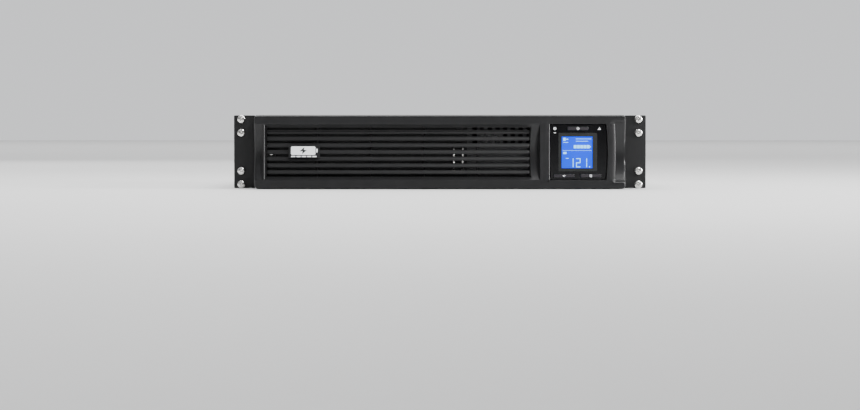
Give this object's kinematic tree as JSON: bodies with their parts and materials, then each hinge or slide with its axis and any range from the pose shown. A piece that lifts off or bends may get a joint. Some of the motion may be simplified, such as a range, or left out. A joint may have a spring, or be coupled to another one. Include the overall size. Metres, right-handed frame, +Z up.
{
  "type": "uninterruptible power supply",
  "caption": "Black rack-mount uninterruptible power supply with a louvred snap-off bezel, backlit status display, slide-out battery tray, and rear outlets and fan.",
  "frame": {"origin": "bottom centre of the bounding box, on the underside of the chassis", "axes": "+X to the right seen from the front, +Y from the bezel to the rear panel, +Z up"},
  "size_m": [0.4826, 0.406, 0.086],
  "materials": {
    "black_paint": "satin",
    "zinc": "satin",
    "nickel": "polished",
    "bezel_plastic": "satin",
    "gloss_black": "gloss",
    "button_plastic": "satin",
    "lcd_blue": "gloss",
    "clear_plastic": "gloss",
    "board_green": "satin",
    "battery_case": "matte",
    "red_wire": "satin",
    "black_wire": "satin",
    "grey_wire": "satin",
    "connector_grey": "matte",
    "core_steel": "satin",
    "winding_tape": "satin",
    "aluminium": "satin",
    "black_plastic": "satin",
    "badge_black": "satin"
  },
  "bodies": {
    "chassis": {"chassis_base": "black_paint", "top_cover": "black_paint", "rear_panel": "black_paint", "front_bulkhead": "black_paint", "battery_bay": "zinc", "rack_ear_left": "black_paint", "rack_ear_right": "black_paint", "rack_screw_1": "nickel", "rack_screw_2": "nickel", "rack_screw_3": "nickel", "rack_screw_4": "nickel", "rack_screw_5": "nickel", "rack_screw_6": "nickel", "rack_screw_7": "nickel", "rack_screw_8": "nickel", "display_fascia": "gloss_black", "display_housing": "black_plastic", "lcd_screen": "lcd_blue", "online_light_pipe": "clear_plastic", "fault_light_pipe": "clear_plastic", "display_board": "board_green", "display_cable": "grey_wire", "battery_socket": "connector_grey", "battery_cable": "black_wire", "main_board": "board_green", "transformer_core": "core_steel", "transformer_winding": "winding_tape", "transformer_cradle": "zinc", "heatsink_front": "aluminium", "heatsink_rear": "aluminium", "capacitor_1": "black_plastic", "capacitor_2": "black_plastic", "outlet_bank_lower": "black_plastic", "outlet_bank_upper": "black_plastic", "power_inlet": "black_plastic", "breaker_body": "black_plastic", "usb_port": "zinc", "serial_port": "black_plastic", "comms_board": "board_green", "ground_screw": "nickel", "fan_frame": "black_plastic", "fan_guard": "nickel"},
    "bezel": {"bezel_frame": "bezel_plastic", "louvre_grille": "bezel_plastic", "badge": "badge_black"},
    "battery_module": {"battery_tray": "zinc", "battery_left": "battery_case", "battery_right": "battery_case", "lead_positive": "red_wire", "lead_negative": "black_wire", "battery_link": "red_wire", "battery_plug": "connector_grey", "tray_handle": "nickel"},
    "thumb_screw_left": {"thumb_screw_left": "nickel"},
    "thumb_screw_right": {"thumb_screw_right": "nickel"},
    "power_button": {"power_button": "button_plastic"},
    "mute_button": {"mute_button": "button_plastic"},
    "menu_button": {"menu_button": "button_plastic"},
    "breaker_button": {"breaker_button": "black_plastic"},
    "fan_rotor": {"fan_rotor": "black_plastic"}
  },
  "joints": [
    {"name": "battery_slide", "type": "slide", "parent": "chassis", "child": "battery_module", "axis": [0, -1, 0], "range_m": [0, 0.24]},
    {"name": "bezel_pull", "type": "slide", "parent": "chassis", "child": "bezel", "axis": [0, -1, 0], "range_m": [0, 0.3]},
    {"name": "thumb_screw_left_turn", "type": "hinge", "parent": "battery_module", "child": "thumb_screw_left", "pos_m": [-0.197, -0.1755, 0.04], "axis": [0, 1, 0], "continuous": true},
    {"name": "thumb_screw_right_turn", "type": "hinge", "parent": "battery_module", "child": "thumb_screw_right", "pos_m": [0.023, -0.1755, 0.0735], "axis": [0, 1, 0], "continuous": true},
    {"name": "power_button_press", "type": "slide", "parent": "chassis", "child": "power_button", "axis": [0, 1, 0], "range_m": [0, 0.0008], "stiffness_N_per_m": 400, "springref_m": -0.002},
    {"name": "mute_button_press", "type": "slide", "parent": "chassis", "child": "mute_button", "axis": [0, 1, 0], "range_m": [0, 0.0008], "stiffness_N_per_m": 400, "springref_m": -0.002},
    {"name": "menu_button_press", "type": "slide", "parent": "chassis", "child": "menu_button", "axis": [0, 1, 0], "range_m": [0, 0.0008], "stiffness_N_per_m": 400, "springref_m": -0.002},
    {"name": "breaker_pop", "type": "slide", "parent": "chassis", "child": "breaker_button", "axis": [0, 1, 0], "range_m": [0, 0.003]},
    {"name": "fan_spin", "type": "hinge", "parent": "chassis", "child": "fan_rotor", "pos_m": [-0.158, 0.182, 0.043], "axis": [0, 1, 0], "continuous": true}
  ],
  "couplings": [
    {"joint": "bezel_pull", "follows": "battery_slide", "ratio": 1.25}
  ]
}
